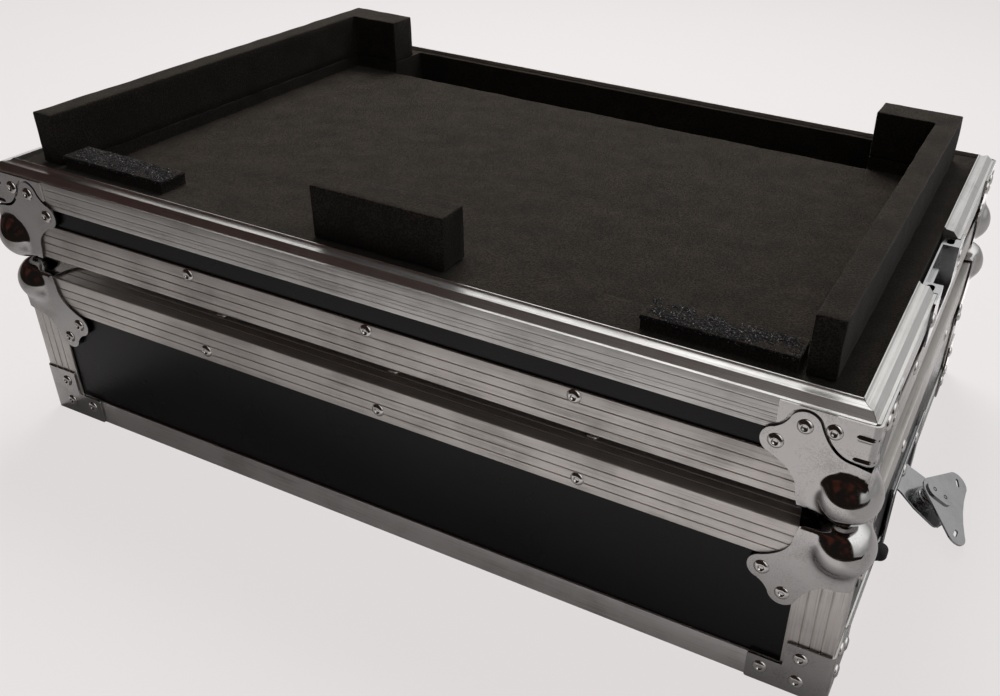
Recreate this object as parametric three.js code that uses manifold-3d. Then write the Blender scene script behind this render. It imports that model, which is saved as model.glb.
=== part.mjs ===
// A flight case for a flat deck controller, in millimetres, +Z up.
// The lid stands rim down on the ground and the foam-lined base stands on top of it.
// The origin is on the ground, in the middle of the lid's footprint; the front faces -Y.
import * as THREE from 'three';
import { mergeVertices } from 'three/addons/utils/BufferGeometryUtils.js';
import Module from 'manifold-3d';

const wasm = await Module();
wasm.setup();

// Driving sizes of the case
const caseWidth = 640;
const caseDepth = 422;
const lidHeight = 127;
const baseHeight = 62;
const baseShift = -4;
const panelThick = 9;
const foamLift = 34;

// Aluminium sections
const skinThick = 1.6;
const lipThick = 1.4;
const seatGap = 0.2;
const mitreGap = 0.2;
const edgeLeg = 28;
const cornerLeg = 30;
const edgeRound = 2.2;
const grooveCount = 3;
const groovePitch = 6.7;
const grooveWidth = 1.3;
const grooveDepth = 0.65;
const lidGrooveStart = 8.4;
const baseGrooveStart = 5.8;
const postGrooveStart = 8;
const lidRimHeight = 20;
const baseRimDrop = 20;
const rimGrooveStart = 4;
const rimGroovePitch = 5.5;
const rimGrooveWidth = 0.9;
const rimGrooveDepth = 0.3;
const ledgeWide = 1.9;
const tongueHeight = 6;
const tongueChamfer = 0.5;
const ridgeInset = 5.6;
const ridgeRise = 4.3;
const hollowInset = 8.2;
const hollowRise = 3.9;
const tongueSideGap = 0.3;
const tongueTopGap = 0.5;

// Ball corners and sheet braces
const ballRadius = 18.5;
const ballProud = 7.85;
const ballRestGap = 0.3;
const plateThick = 1.4;
const cornerTrim = 1;
const ballTrim = 0.8;
const plateTrim = 8;
const neckReach = 34.5;
const neckFlat = 8;
const neckStep = 1;
const neckCurve = 21;
const lobeNear = 36.2;
const lobeFar = 50.2;
const lobeRadius = 8.8;
const notchReach = 47.5;
const lobeOuterTurn = 60;
const lobeInnerTurn = 78;
const wingClearance = 0.4;
const bendInner = 0.4;
const lidBraceReach = 50;
const lidBraceRise = 40;
const lidBraceLeg = 28;
const lidBraceLedge = 20.6;
const baseBraceReach = 51.5;
const baseBraceDrop = 32;

// Latches, one on each short side
const latchY = -8;
const sheetThick = 1.2;
const recessDepth = 9.4;
const recessHalf = 42;
const recessRise = 48;
const flangeWide = 17;
const flangeRise = 9;
const flangeCorner = 6;
const cutGap = 0.3;
const hingeInset = 3.4;
const hingeRise = 33;
const pinRadius = 1.5;
const runGap = 0.3;
const knuckleRadius = 3.2;
const knuckleHalf = 16.8;
const lugThick = 1.6;
const lugGap = 0.4;
const lugRise = 6;
const armRestAngle = 34;
const armLength = 45;
const armHalf = 20;
const armNeck = 8;
const armFlare = 14;
const armTipRound = 7;
const bossOut = 28;
const bossRadius = 8.5;
const bossRib = 1.1;
const postRadius = 3.2;
const wingHeight = 9.5;
const wingThick = 1.5;
const capThick = 1.4;
const capHalf = 12;
const capRound = 7.2;
const capOut = 2.8;
const wingRestAngle = 10.9;
const wingHubRadius = 12;
const wingLobeOut = 20.5;
const wingLobeSide = 26.5;
const wingLobeRadius = 9.5;
const wingWaist = 26;
const slotLong = 8;
const slotWide = 3;
const hookHalf = 9;
const hookStart = 12;
const hookEnd = 48.5;
const hookClaw = 3;
const guideStart = 14;
const guideEnd = 40;
const guideLip = 2;
const bufferRadius = 7;
const bufferHeight = 7.5;
const bufferStep = 69;
const bufferRise = 13.5;

// Keeper dish in the base's rim
const keeperHalf = 31;
const keeperDrop = 27;
const keeperTab = 13;
const keeperFlangeDrop = 6;
const tabHoleLong = 9;
const tabHoleWide = 5;
const barHalf = 12;
const barDrop = 9.6;
const barThick = 2;
const barDeep = 2.9;

// Foam
const foamGap = 0.3;
const bedTopDrop = 3;
const pocketSide = 46;
const pocketFront = 50;
const pocketRear = 59;
const pocketSink = 10;
const wallFoam = 17;
const wallFront = 23;
const wallBack = 30;
const returnReach = 62;
const blockHalf = 49;
const blockDeep = 24;
const blockDrop = 1.2;
const padWidth = 92;
const padRise = 9;
const padDeep = 22;
const padGap = 4;
const trenchSink = 36;
const trenchBack = 18;
const lidFoamThick = 25;
const lidFoamInset = 28;

const roundSteps = 20;
const ballDetail = 4;
const curveSteps = 4;
const overrun = 1;

// Derived heights and insets
const panelInset = skinThick + seatGap;
const innerInset = panelInset + panelThick + seatGap;
const tongueEnd = innerInset + lipThick;
const plateOut = seatGap + plateThick;
const baseBottom = lidHeight + 2 * ballProud + ballRestGap;
const ledgeZ = baseBottom + baseHeight;
const tongueZ = ledgeZ + tongueHeight;
const bedTop = tongueZ - bedTopDrop;
const foamTop = tongueZ + foamLift;
const halfWidth = caseWidth / 2;
const halfDepth = caseDepth / 2;
const pocketX = halfWidth - pocketSide;
const pocketFrontY = pocketFront - halfDepth;
const pocketRearY = halfDepth - pocketRear;
const quarterTurn = Math.PI / 2;
const degree = Math.PI / 180;

const aluminium = { color: 0x9a948c, roughness: 0.42, metalness: 0.9 };
const brightAluminium = { color: 0xb4b8b4, roughness: 0.3, metalness: 0.95 };
const zinc = { color: 0xb9b7b4, roughness: 0.3, metalness: 0.9 };
const laminate = { color: 0x1b1719, roughness: 0.5, metalness: 0 };
const foam = { color: 0x24211e, roughness: 0.95, metalness: 0 };
const rubber = { color: 0x16161a, roughness: 0.35, metalness: 0 };

// Joining and cutting
function solid(geometry) {
  const plain = geometry.clone();
  plain.deleteAttribute('normal');
  plain.deleteAttribute('uv');
  const merged = mergeVertices(plain, 1e-4);
  return new wasm.Manifold(new wasm.Mesh({
    numProp: 3,
    vertProperties: new Float32Array(merged.attributes.position.array),
    triVerts: new Uint32Array(merged.index.array),
  }));
}

function surface(body) {
  const mesh = body.getMesh();
  const geometry = new THREE.BufferGeometry();
  geometry.setAttribute('position', new THREE.BufferAttribute(new Float32Array(mesh.vertProperties), 3));
  geometry.setIndex(new THREE.BufferAttribute(new Uint32Array(mesh.triVerts), 1));
  geometry.computeVertexNormals();
  return geometry;
}

function joined(...pieces) {
  return pieces.reduce((sum, piece) => sum.add(piece));
}

function block(x0, x1, y0, y1, z0, z1) {
  const geometry = new THREE.BoxGeometry(x1 - x0, y1 - y0, z1 - z0);
  return solid(geometry.translate((x0 + x1) / 2, (y0 + y1) / 2, (z0 + z1) / 2));
}

function rod(radius, length) {
  return solid(new THREE.CylinderGeometry(radius, radius, length, roundSteps));
}

function upright(radius, z0, z1, x = 0, y = 0) {
  const geometry = new THREE.CylinderGeometry(radius, radius, z1 - z0, roundSteps);
  return solid(geometry.rotateX(quarterTurn).translate(x, y, (z0 + z1) / 2));
}

function slab(shape, z0, z1, steps = curveSteps) {
  const geometry = new THREE.ExtrudeGeometry(shape, {
    depth: z1 - z0,
    bevelEnabled: false,
    curveSegments: steps,
  });
  return solid(geometry.translate(0, 0, z0));
}

function mesh(name, body, look, group) {
  const geometry = body.isBufferGeometry ? body : surface(body);
  const item = new THREE.Mesh(geometry, new THREE.MeshStandardMaterial(look));
  item.name = name;
  group.add(item);
  return item;
}

// A run along X whose ends are cut at 45 degrees, so that four runs meet at the corners.
// The section is drawn as (distance in from the outer face, height).
function mitredRun(section, halfLength) {
  const run = new THREE.ExtrudeGeometry(section, {
    depth: 1,
    bevelEnabled: false,
    curveSegments: curveSteps,
  });
  const position = run.attributes.position;
  for (let i = 0; i < position.count; i += 1) {
    const inward = position.getX(i);
    const height = position.getY(i);
    const reach = halfLength - inward - mitreGap;
    position.setXYZ(i, position.getZ(i) > 0.5 ? reach : -reach, inward, height);
  }
  return solid(run);
}

const sides = [
  { name: 'front', x: 0, y: -halfDepth, turn: 0, half: halfWidth, latchAt: null },
  { name: 'right', x: halfWidth, y: 0, turn: quarterTurn, half: halfDepth, latchAt: latchY },
  { name: 'back', x: 0, y: halfDepth, turn: 2 * quarterTurn, half: halfWidth, latchAt: null },
  { name: 'left', x: -halfWidth, y: 0, turn: -quarterTurn, half: halfDepth, latchAt: -latchY },
];

// An edge angle round one side, with the sharp ends taken off under the ball corners
function edgeRail(side, faceZ, up, grooveStart) {
  const trimmed = (rail, s) => rail.subtract(cornerWedge(new THREE.Vector3(s, -1, up), cornerTrim)
    .translate([s * side.half, 0, faceZ]));
  return [1, -1].reduce(trimmed, mitredRun(ribbedAngle(edgeLeg, faceZ, -up, grooveStart), side.half));
}

function onSide(item, side) {
  item.position.set(side.x, side.y, 0);
  item.rotation.z = side.turn;
}

// Each corner is named by the signs of X and Y.
const corners = [
  { name: 'front_left', sx: -1, sy: -1 },
  { name: 'front_right', sx: 1, sy: -1 },
  { name: 'back_left', sx: -1, sy: 1 },
  { name: 'back_right', sx: 1, sy: 1 },
];

// Turns a piece drawn at the corner of three faces that look along +X, +Y and +Z.
// The piece is the same seen from either face, so swapping X and Y keeps it unmirrored.
function atCorner(item, sx, sy, sz, z) {
  const swap = sx * sy * sz < 0;
  const basis = new THREE.Matrix4().makeBasis(
    swap ? new THREE.Vector3(0, sy, 0) : new THREE.Vector3(sx, 0, 0),
    swap ? new THREE.Vector3(sx, 0, 0) : new THREE.Vector3(0, sy, 0),
    new THREE.Vector3(0, 0, sz),
  );
  item.quaternion.setFromRotationMatrix(basis);
  item.position.set(sx * halfWidth, sy * halfDepth, z);
}

// Grooves pressed along one straight face of a section, from the far end to the near end
function grooveLine(shape, place, start, pitch, width, depth) {
  for (let i = grooveCount - 1; i >= 0; i -= 1) {
    const centre = start + i * pitch;
    shape.lineTo(...place(centre + width / 2, 0));
    shape.lineTo(...place(centre, depth));
    shape.lineTo(...place(centre - width / 2, 0));
  }
}

// A ribbed angle: the corner of its two outer faces is at (0, faceZ) and it runs towards `down`
function ribbedAngle(leg, faceZ, down, grooveStart) {
  const shape = new THREE.Shape();
  const at = (inward, drop) => [inward, faceZ + down * drop];
  shape.moveTo(...at(0, leg));
  grooveLine(shape, (s, d) => at(d, s), grooveStart, groovePitch, grooveWidth, grooveDepth);
  shape.lineTo(...at(0, edgeRound));
  shape.quadraticCurveTo(...at(0, 0), ...at(edgeRound, 0));
  const near = [];
  grooveLine({ lineTo: (...p) => near.unshift(p) }, (s, d) => at(s, d),
    grooveStart, groovePitch, grooveWidth, grooveDepth);
  near.forEach((p) => shape.lineTo(...p));
  shape.lineTo(...at(leg, 0));
  shape.lineTo(...at(leg, skinThick));
  shape.lineTo(...at(skinThick, skinThick));
  shape.lineTo(...at(skinThick, leg));
  return shape;
}

// The lid's rim: a groove below takes the base's tongue and a channel above holds the panel
function lidRimSection() {
  const web = tongueHeight + tongueTopGap;
  const webTop = web + skinThick;
  const lipIn = tongueEnd + tongueSideGap;
  const shape = new THREE.Shape();
  shape.moveTo(0, 0);
  shape.lineTo(skinThick, 0);
  shape.lineTo(skinThick, web);
  shape.lineTo(lipIn, web);
  shape.lineTo(lipIn, 0);
  shape.lineTo(lipIn + lipThick, 0);
  shape.lineTo(lipIn + lipThick, webTop);
  shape.lineTo(tongueEnd, webTop);
  shape.lineTo(tongueEnd, lidRimHeight);
  shape.lineTo(innerInset, lidRimHeight);
  shape.lineTo(innerInset, webTop);
  shape.lineTo(skinThick, webTop);
  shape.lineTo(skinThick, lidRimHeight);
  shape.lineTo(0, lidRimHeight);
  return shape;
}

// The base's rim: a finely grooved outer leg, a narrow ledge and the standing tongue,
// whose front slopes up to a low ridge and whose hollowed top rises to the inner edge
function baseRimSection() {
  const low = ledgeZ - baseRimDrop;
  const under = ledgeZ - skinThick;
  const shape = new THREE.Shape();
  shape.moveTo(0, ledgeZ);
  grooveLine(shape, (s, d) => [d, low + s], rimGrooveStart, rimGroovePitch,
    rimGrooveWidth, rimGrooveDepth);
  shape.lineTo(0, low);
  shape.lineTo(skinThick, low);
  shape.lineTo(skinThick, under);
  shape.lineTo(innerInset, under);
  shape.lineTo(innerInset, low);
  shape.lineTo(tongueEnd, low);
  shape.lineTo(tongueEnd, tongueZ - tongueChamfer);
  shape.lineTo(tongueEnd - tongueChamfer, tongueZ);
  shape.lineTo(hollowInset, ledgeZ + hollowRise);
  shape.lineTo(ridgeInset, ledgeZ + ridgeRise);
  shape.lineTo(ledgeWide, ledgeZ);
  return shape;
}

// The place that a latch or keeper dish takes out of a rim or panel, in the side's own frame
function dishCut(centre, half, z0, z1) {
  const wide = half + sheetThick + cutGap;
  return block(centre - wide, centre + wide, -overrun, recessDepth + sheetThick + seatGap, z0, z1);
}

const lidWebTop = tongueHeight + tongueTopGap + skinThick;
const lidTopUnder = lidHeight - panelInset - panelThick;
const lidDishTop = recessRise + sheetThick + cutGap;
const baseDishLow = ledgeZ - keeperDrop - sheetThick - cutGap;
const baseDishHalf = keeperHalf + keeperTab;

function lidPanels(group) {
  const x = halfWidth - panelInset;
  const y = halfDepth - panelInset;
  mesh('lid_top_panel', block(-x, x, -y, y, lidTopUnder, lidTopUnder + panelThick), laminate, group);
  const low = lidWebTop + seatGap;
  const high = lidTopUnder - seatGap;
  for (const side of sides) {
    const isSide = side.latchAt !== null;
    const half = side.half - panelInset - (isSide ? panelThick + seatGap : 0);
    let body = block(-half, half, panelInset, panelInset + panelThick, low, high);
    if (isSide) {
      const wide = recessHalf + sheetThick + cutGap;
      const cut = block(side.latchAt - wide, side.latchAt + wide, 0, innerInset, 0, lidDishTop);
      body = body.subtract(cut);
    }
    onSide(mesh(`lid_${side.name}_panel`, body, laminate, group), side);
  }
}

function lidRails(group) {
  for (const side of sides) {
    const rail = edgeRail(side, lidHeight, 1, lidGrooveStart);
    onSide(mesh(`lid_edge_rail_${side.name}`, rail, aluminium, group), side);
    let rim = mitredRun(lidRimSection(), side.half);
    if (side.latchAt !== null) {
      rim = rim.subtract(dishCut(side.latchAt, recessHalf, -overrun, lidRimHeight + overrun));
    }
    onSide(mesh(`lid_rim_${side.name}`, rim, brightAluminium, group), side);
  }
  const low = lidRimHeight + seatGap;
  const high = lidHeight - edgeLeg - seatGap;
  for (const corner of corners) {
    const shape = new THREE.Shape(ribbedAngle(cornerLeg, 0, 1, postGrooveStart).getPoints(curveSteps)
      .map((p) => new THREE.Vector2(-p.x, -p.y)));
    const rail = slab(shape, low, high);
    const item = mesh(`lid_corner_rail_${corner.name}`, rail, aluminium, group);
    atCorner(item, corner.sx, corner.sy, 1, 0);
  }
}

// One wing of a ball corner, drawn as distances from the corner along its two edges
function wingOutline() {
  const shape = new THREE.Shape();
  const start = -plateOut;
  const lobeTurn = lobeOuterTurn * degree;
  const lobeInner = lobeInnerTurn * degree;
  shape.moveTo(start, start);
  shape.lineTo(neckReach, start);
  shape.lineTo(neckReach + neckStep, neckFlat);
  shape.quadraticCurveTo(neckReach + neckStep, neckCurve,
    lobeFar + lobeRadius * Math.cos(lobeTurn), lobeNear - lobeRadius * Math.sin(lobeTurn));
  shape.absarc(lobeFar, lobeNear, lobeRadius, -lobeTurn, lobeInner, false);
  shape.quadraticCurveTo(notchReach, notchReach,
    lobeNear + lobeRadius * Math.sin(lobeInner), lobeFar + lobeRadius * Math.cos(lobeInner));
  shape.absarc(lobeNear, lobeFar, lobeRadius, quarterTurn - lobeInner, quarterTurn + lobeTurn, false);
  shape.quadraticCurveTo(neckCurve, neckReach + neckStep, neckFlat, neckReach + neckStep);
  shape.lineTo(start, neckReach);
  return shape.getPoints(curveSteps);
}

// The outline moved out along its own normals
function grown(points, distance) {
  const centre = points.reduce((sum, p) => sum.add(p), new THREE.Vector2()).divideScalar(points.length);
  return points.map((p, i) => {
    const before = points[(i + points.length - 1) % points.length];
    const after = points[(i + 1) % points.length];
    const along = after.clone().sub(before).normalize();
    const out = new THREE.Vector2(along.y, -along.x);
    if (out.dot(p.clone().sub(centre)) < 0) out.negate();
    return p.clone().addScaledVector(out, distance);
  });
}

function wingPlate(points, z0, z1) {
  return slab(new THREE.Shape(points.map((p) => new THREE.Vector2(-p.x, -p.y))), z0, z1);
}

// Turns a plate drawn on the +Z face so that it lies on the +X or +Y face of the same corner
const toFaceX = new THREE.Matrix4().set(0, 0, 1, 0, 1, 0, 0, 0, 0, 1, 0, 0, 0, 0, 0, 1);
const toFaceY = new THREE.Matrix4().set(0, 1, 0, 0, 0, 0, 1, 0, 1, 0, 0, 0, 0, 0, 0, 1);

function turned(body, matrix) {
  return solid(surface(body).applyMatrix4(matrix));
}

// What lies past a slanted plane across a corner; the direction points out of the corner
function cornerWedge(direction, trim) {
  const outward = direction.clone().normalize();
  const turn = new THREE.Quaternion().setFromUnitVectors(new THREE.Vector3(0, 0, 1), outward);
  const geometry = new THREE.BoxGeometry(2 * ballRadius, 2 * ballRadius, ballRadius);
  geometry.translate(0, 0, ballRadius / 2).applyQuaternion(turn);
  return solid(geometry.translate(...direction.clone().multiplyScalar(-trim).toArray()));
}

// A pressed ball corner: a hollow ball over the corner and a two-lobed wing on each face
function ballCorner() {
  const plate = wingPlate(wingOutline(), seatGap, plateOut);
  const centre = ballProud - ballRadius;
  const sphere = new THREE.IcosahedronGeometry(ballRadius, ballDetail);
  const ball = solid(sphere.translate(centre, centre, centre));
  const near = plateOut + overrun;
  const plates = joined(plate, turned(plate, toFaceX), turned(plate, toFaceY))
    .subtract(block(-plateTrim, near, -plateTrim, near, -plateTrim, near));
  const caseCorner = block(-caseWidth, seatGap, -caseWidth, seatGap, -caseWidth, seatGap)
    .subtract(cornerWedge(new THREE.Vector3(1, 1, 1), ballTrim));
  return joined(plates, ball).subtract(caseCorner);
}

function ballCorners(prefix, sz, z, group) {
  const geometry = surface(ballCorner());
  for (const corner of corners) {
    const item = mesh(`${prefix}_ball_corner_${corner.name}`, geometry.clone(), zinc, group);
    atCorner(item, corner.sx, corner.sy, sz, z);
  }
}

// A strip bent round the corner, seen from above, with equal legs
function bentStrip(reach, z0, z1) {
  const outer = bendInner + plateThick;
  const centre = seatGap - bendInner;
  const shape = new THREE.Shape();
  shape.moveTo(-reach, plateOut);
  shape.lineTo(-reach, seatGap);
  shape.lineTo(centre, seatGap);
  shape.absarc(centre, centre, bendInner, quarterTurn, 0, true);
  shape.lineTo(seatGap, -reach);
  shape.lineTo(plateOut, -reach);
  shape.lineTo(plateOut, centre);
  shape.absarc(centre, centre, outer, 0, quarterTurn, false);
  return slab(shape, z0, z1);
}

// The lid's lower brace: an L on each face, its foot along the rim and its leg up the corner
function lidBrace() {
  const bent = bentStrip(lidBraceReach, seatGap, lidBraceRise);
  const high = lidBraceRise + overrun;
  const far = lidBraceReach + overrun;
  const notchX = block(-far, -lidBraceLeg, 0, plateOut + overrun, lidBraceLedge, high);
  const notchY = block(0, plateOut + overrun, -far, -lidBraceLeg, lidBraceLedge, high);
  return bent.subtract(notchX).subtract(notchY);
}

// The base's upper brace stops short of the ball corner's wing on both faces
function baseBrace() {
  const bent = bentStrip(baseBraceReach, baseHeight - baseBraceDrop, baseHeight - seatGap);
  const cutter = wingPlate(grown(wingOutline(), wingClearance), -overrun, plateOut + overrun);
  const flip = new THREE.Matrix4().makeScale(1, 1, -1);
  const turnOver = (body) => {
    const geometry = surface(body).applyMatrix4(flip);
    const index = geometry.index.array;
    for (let i = 0; i < index.length; i += 3) {
      [index[i], index[i + 1]] = [index[i + 1], index[i]];
    }
    return solid(geometry);
  };
  return bent.subtract(turnOver(turned(cutter, toFaceX))).subtract(turnOver(turned(cutter, toFaceY)));
}

function lidBraces(group) {
  const geometry = surface(lidBrace());
  for (const corner of corners) {
    const item = mesh(`lid_brace_${corner.name}`, geometry.clone(), zinc, group);
    atCorner(item, corner.sx, corner.sy, 1, 0);
  }
}

function baseBraces(group) {
  const geometry = surface(baseBrace());
  for (const corner of corners) {
    const item = mesh(`base_brace_${corner.name}`, geometry.clone(), zinc, group);
    atCorner(item, corner.sx, corner.sy, 1, baseBottom);
  }
}

// A rounded plate standing on a side face: drawn as (along the side, height)
function sidePlate(half, z0, z1, x0, x1) {
  const shape = new THREE.Shape();
  const c = flangeCorner;
  shape.moveTo(-half + c, z0);
  shape.lineTo(half - c, z0);
  shape.quadraticCurveTo(half, z0, half, z0 + c);
  shape.lineTo(half, z1 - c);
  shape.quadraticCurveTo(half, z1, half - c, z1);
  shape.lineTo(-half + c, z1);
  shape.quadraticCurveTo(-half, z1, -half, z1 - c);
  shape.lineTo(-half, z0 + c);
  shape.quadraticCurveTo(-half, z0, -half + c, z0);
  const upRight = new THREE.Matrix4().set(0, 0, 1, 0, 1, 0, 0, 0, 0, 1, 0, 0, 0, 0, 0, 1);
  return solid(surface(slab(shape, x0, x1)).applyMatrix4(upRight));
}

// The latch dish: a pressed tray open at its lower edge, with the hinge lugs and their pin.
// Its frame has +X out of the case, Y along the side and the ground at zero.
function latchDish() {
  const back = -recessDepth - sheetThick;
  const low = seatGap;
  const tray = block(back, plateOut, -recessHalf - sheetThick, recessHalf + sheetThick,
    low, recessRise + sheetThick);
  const flange = sidePlate(recessHalf + flangeWide, low, recessRise + flangeRise, seatGap, plateOut);
  const hollow = block(-recessDepth, plateOut + overrun, -recessHalf, recessHalf,
    -overrun, recessRise);
  const inner = knuckleHalf + lugGap;
  const lugs = [1, -1].map((s) => block(-recessDepth - sheetThick / 2, 0,
    Math.min(s * inner, s * (inner + lugThick)), Math.max(s * inner, s * (inner + lugThick)),
    hingeRise - lugRise, hingeRise + lugRise));
  const pinHalf = inner + lugThick / 2;
  const pin = rod(pinRadius, 2 * pinHalf).translate([-hingeInset, 0, hingeRise]);
  return joined(joined(tray, flange).subtract(hollow), ...lugs, pin);
}

// The arm: a flared plate with a rolled knuckle, a turned boss and two folded guides below.
// Its frame has +X out along the arm, Y along the hinge and Z out of the plate.
function latchArm() {
  const half = skinThick / 2;
  const shape = new THREE.Shape();
  shape.moveTo(0, -knuckleHalf);
  shape.lineTo(armNeck, -knuckleHalf);
  shape.lineTo(armNeck + armFlare, -armHalf);
  shape.lineTo(armLength - armTipRound, -armHalf);
  shape.quadraticCurveTo(armLength, -armHalf, armLength, -armHalf + armTipRound);
  shape.lineTo(armLength, armHalf - armTipRound);
  shape.quadraticCurveTo(armLength, armHalf, armLength - armTipRound, armHalf);
  shape.lineTo(armNeck + armFlare, armHalf);
  shape.lineTo(armNeck, knuckleHalf);
  shape.lineTo(0, knuckleHalf);
  const plate = slab(shape, -half, half);
  const bossTop = wingHeight - runGap;
  const profile = [
    [0, 0], [bossRadius, 0], [bossRadius, bossTop / 4], [bossRadius - bossRib, bossTop / 3],
    [bossRadius - bossRib, bossTop / 2], [bossRadius, bossTop * 7 / 12],
    [bossRadius, bossTop * 5 / 6], [bossRadius - bossRib, bossTop], [postRadius, bossTop],
    [postRadius, wingHeight + wingThick - runGap], [0, wingHeight + wingThick - runGap],
  ].map(([r, h]) => new THREE.Vector2(r, h));
  const boss = solid(new THREE.LatheGeometry(profile, roundSteps).rotateX(quarterTurn)
    .translate(bossOut, 0, 0));
  const under = -half - runGap - skinThick - runGap;
  const guides = [1, -1].map((s) => {
    const wall = s * (hookHalf + runGap);
    const outer = wall + s * skinThick;
    const lip = wall - s * guideLip;
    return joined(
      block(guideStart, guideEnd, Math.min(wall, outer), Math.max(wall, outer), under - lipThick, 0),
      block(guideStart, guideEnd, Math.min(lip, outer), Math.max(lip, outer), under - lipThick, under),
    );
  });
  const bore = rod(pinRadius + runGap, 3 * knuckleHalf);
  return joined(plate, rod(knuckleRadius, 2 * knuckleHalf), boss, ...guides).subtract(bore);
}

// The hook slides under the arm and ends in a turned-in claw
function latchHook() {
  const top = -skinThick / 2 - runGap;
  const plate = block(hookStart, hookEnd, -hookHalf, hookHalf, top - skinThick, top);
  const claw = block(hookEnd - skinThick, hookEnd, -hookHalf, hookHalf, top - skinThick - hookClaw, top);
  return joined(plate, claw);
}

function roundedBar(long, wide) {
  const shape = new THREE.Shape();
  const r = wide / 2;
  const straight = long / 2 - r;
  shape.moveTo(-straight, -r);
  shape.lineTo(straight, -r);
  shape.absarc(straight, 0, r, -quarterTurn, quarterTurn, false);
  shape.lineTo(-straight, r);
  shape.absarc(-straight, 0, r, quarterTurn, 3 * quarterTurn, false);
  return shape;
}

// The butterfly wing with its oval cap, turning about the boss: drawn about the pivot
function latchWing() {
  const lobeAngle = Math.atan2(wingLobeSide, wingLobeOut);
  const tip = lobeAngle + quarterTurn * 0.85;
  const face = -quarterTurn / 4;
  const shape = new THREE.Shape();
  shape.absarc(0, 0, wingHubRadius, tip, -tip, false);
  shape.absarc(wingLobeOut, -wingLobeSide, wingLobeRadius, -tip, -face, false);
  shape.quadraticCurveTo(wingWaist - slotWide / 2, 0,
    wingLobeOut + wingLobeRadius * Math.cos(face), wingLobeSide + wingLobeRadius * Math.sin(face));
  shape.absarc(wingLobeOut, wingLobeSide, wingLobeRadius, face, tip, false);
  const top = wingHeight + wingThick;
  const plate = slab(shape, wingHeight, top);
  const slots = [1, -1].map((s) => slab(roundedBar(slotLong, slotWide), 0, top + overrun)
    .rotate([0, 0, s * lobeAngle / degree * 2])
    .translate([wingLobeOut, s * wingLobeSide, 0]));
  const bore = upright(postRadius + runGap, 0, top);
  const cap = slab(roundedBar(2 * capHalf, 2 * capRound), top, top + capThick).translate([capOut, 0, 0]);
  return slots.reduce((body, slot) => body.subtract(slot), joined(plate.subtract(bore), cap));
}

function dome() {
  const profile = [new THREE.Vector2(0, 0), new THREE.Vector2(bufferRadius, 0)];
  for (let i = 0; i <= curveSteps; i += 1) {
    const a = (i / curveSteps) * quarterTurn;
    const share = (1 + Math.cos(a)) / 2;
    const rise = bufferHeight * (1 + 2 * Math.sin(a)) / 3;
    profile.push(new THREE.Vector2(i === curveSteps ? 0 : bufferRadius * share, rise));
  }
  return new THREE.LatheGeometry(profile, roundSteps).rotateZ(-quarterTurn);
}

function latch(name, sign, group) {
  const frame = new THREE.Group();
  frame.position.set(sign * halfWidth, latchY, 0);
  frame.rotation.z = sign > 0 ? 0 : Math.PI;
  group.add(frame);
  mesh(`latch_dish_${name}`, latchDish(), zinc, frame);
  const buffer = mesh(`latch_buffer_${name}`, solid(dome()), rubber, frame);
  buffer.position.set(seatGap, -sign * bufferStep, bufferRise);
  const arm = new THREE.Group();
  arm.position.set(-hingeInset, 0, hingeRise);
  arm.rotation.y = armRestAngle * degree;
  frame.add(arm);
  mesh(`latch_arm_${name}`, latchArm(), zinc, arm);
  mesh(`latch_hook_${name}`, latchHook(), zinc, arm);
  const wing = mesh(`latch_wing_${name}`, latchWing(), zinc, arm);
  wing.position.set(bossOut, 0, 0);
  wing.rotation.z = wingRestAngle * degree;
}

function basePanels(group) {
  const x = halfWidth - panelInset;
  const y = halfDepth - panelInset;
  const floorZ = baseBottom + panelInset;
  const low = floorZ + panelThick + seatGap;
  const high = ledgeZ - skinThick - seatGap;
  mesh('base_bottom_panel', block(-x, x, -y, y, floorZ, floorZ + panelThick), laminate, group);
  const inner = panelThick;
  let frame = block(-x, x, -y, y, low, high)
    .subtract(block(-x + inner, x - inner, -y + inner, y - inner, low - overrun, high + overrun));
  const wide = baseDishHalf + sheetThick + cutGap;
  for (const s of [1, -1]) {
    const x0 = s * (halfWidth + overrun);
    const x1 = s * (halfWidth - innerInset - overrun);
    frame = frame.subtract(block(Math.min(x0, x1), Math.max(x0, x1),
      latchY - wide, latchY + wide, baseDishLow, high + overrun));
  }
  mesh('base_wall_frame', frame, laminate, group);
}

function baseRails(group) {
  for (const side of sides) {
    const rail = edgeRail(side, baseBottom, -1, baseGrooveStart);
    onSide(mesh(`base_edge_rail_${side.name}`, rail, aluminium, group), side);
    let rim = mitredRun(baseRimSection(), side.half);
    if (side.latchAt !== null) {
      rim = rim.subtract(dishCut(side.latchAt, baseDishHalf, baseDishLow, tongueZ + overrun));
    }
    onSide(mesh(`base_rim_${side.name}`, rim, brightAluminium, group), side);
  }
}

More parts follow.
